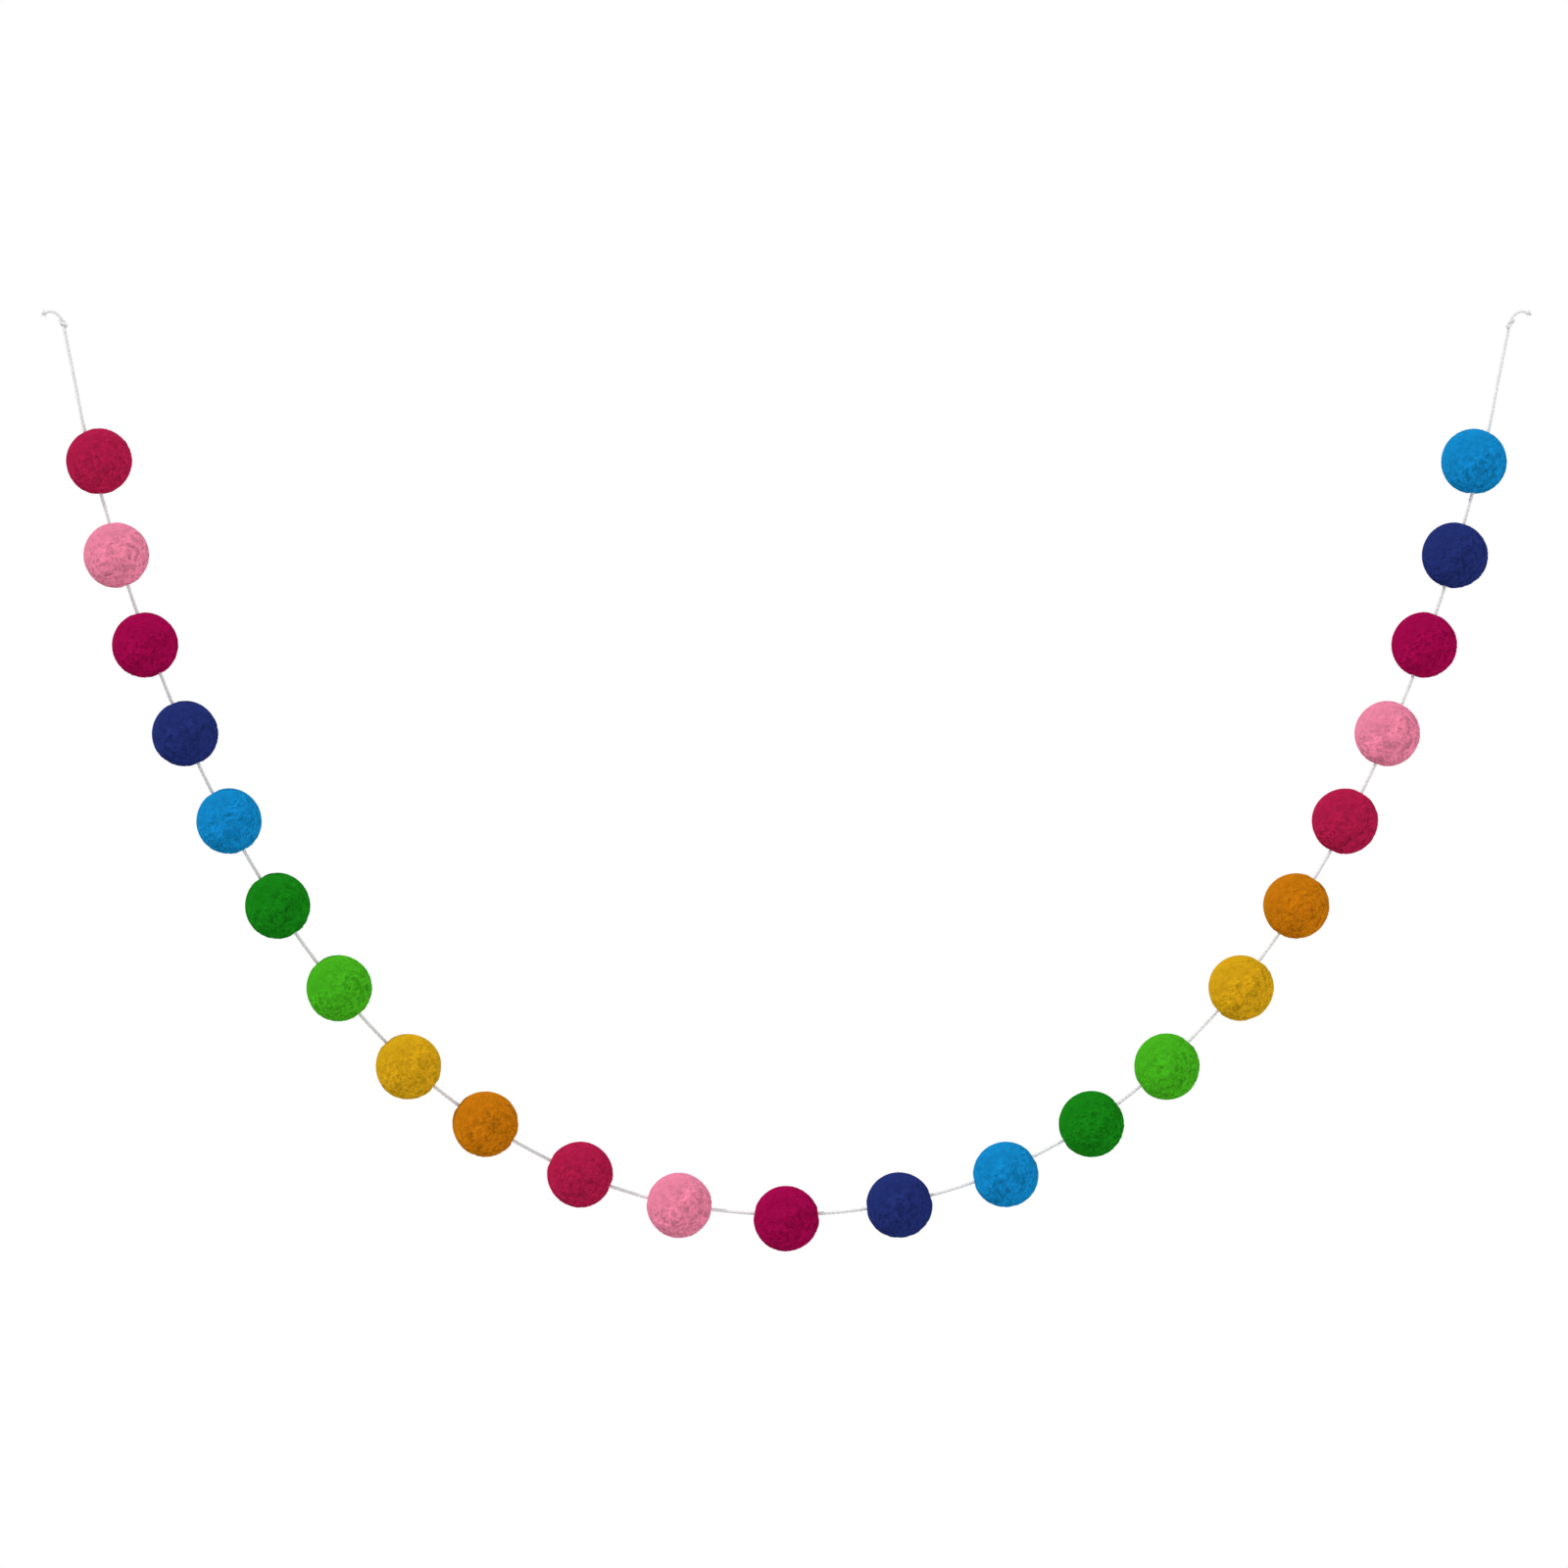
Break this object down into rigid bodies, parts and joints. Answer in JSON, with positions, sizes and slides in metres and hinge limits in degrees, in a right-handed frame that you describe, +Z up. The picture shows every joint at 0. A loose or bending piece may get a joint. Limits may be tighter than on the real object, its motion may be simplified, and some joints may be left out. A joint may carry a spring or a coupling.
{
  "type": "felt ball garland",
  "caption": "Garland of felted wool balls in repeating bright colours, threaded on a fine off-white string that hangs in a deep curve between two end knots.",
  "frame": {"origin": "middle of the left end knot, where the garland is held up", "axes": "+X along the hanging line from the left end knot to the right one, +Y away from the viewer, square to the plane in which the garland hangs, +Z up"},
  "size_m": [0.5685, 0.0254, 0.3603],
  "materials": {
    "felt_raspberry": "matte",
    "felt_pink": "matte",
    "felt_magenta": "matte",
    "felt_navy": "matte",
    "felt_bright_blue": "matte",
    "felt_dark_green": "matte",
    "felt_light_green": "matte",
    "felt_mustard": "matte",
    "felt_orange": "matte",
    "cotton_string": "matte"
  },
  "bodies": {
    "root": {"felt_ball_01": "felt_raspberry", "felt_ball_02": "felt_pink", "felt_ball_03": "felt_magenta", "felt_ball_04": "felt_navy", "felt_ball_05": "felt_bright_blue", "felt_ball_06": "felt_dark_green", "felt_ball_07": "felt_light_green", "felt_ball_08": "felt_mustard", "felt_ball_09": "felt_orange", "felt_ball_10": "felt_raspberry", "felt_ball_11": "felt_pink", "felt_ball_12": "felt_magenta", "felt_ball_13": "felt_navy", "felt_ball_14": "felt_bright_blue", "felt_ball_15": "felt_dark_green", "felt_ball_16": "felt_light_green", "felt_ball_17": "felt_mustard", "felt_ball_18": "felt_orange", "felt_ball_19": "felt_raspberry", "felt_ball_20": "felt_pink", "felt_ball_21": "felt_magenta", "felt_ball_22": "felt_navy", "felt_ball_23": "felt_bright_blue", "string": "cotton_string", "knot_left": "cotton_string", "knot_right": "cotton_string"}
  },
  "joints": []
}
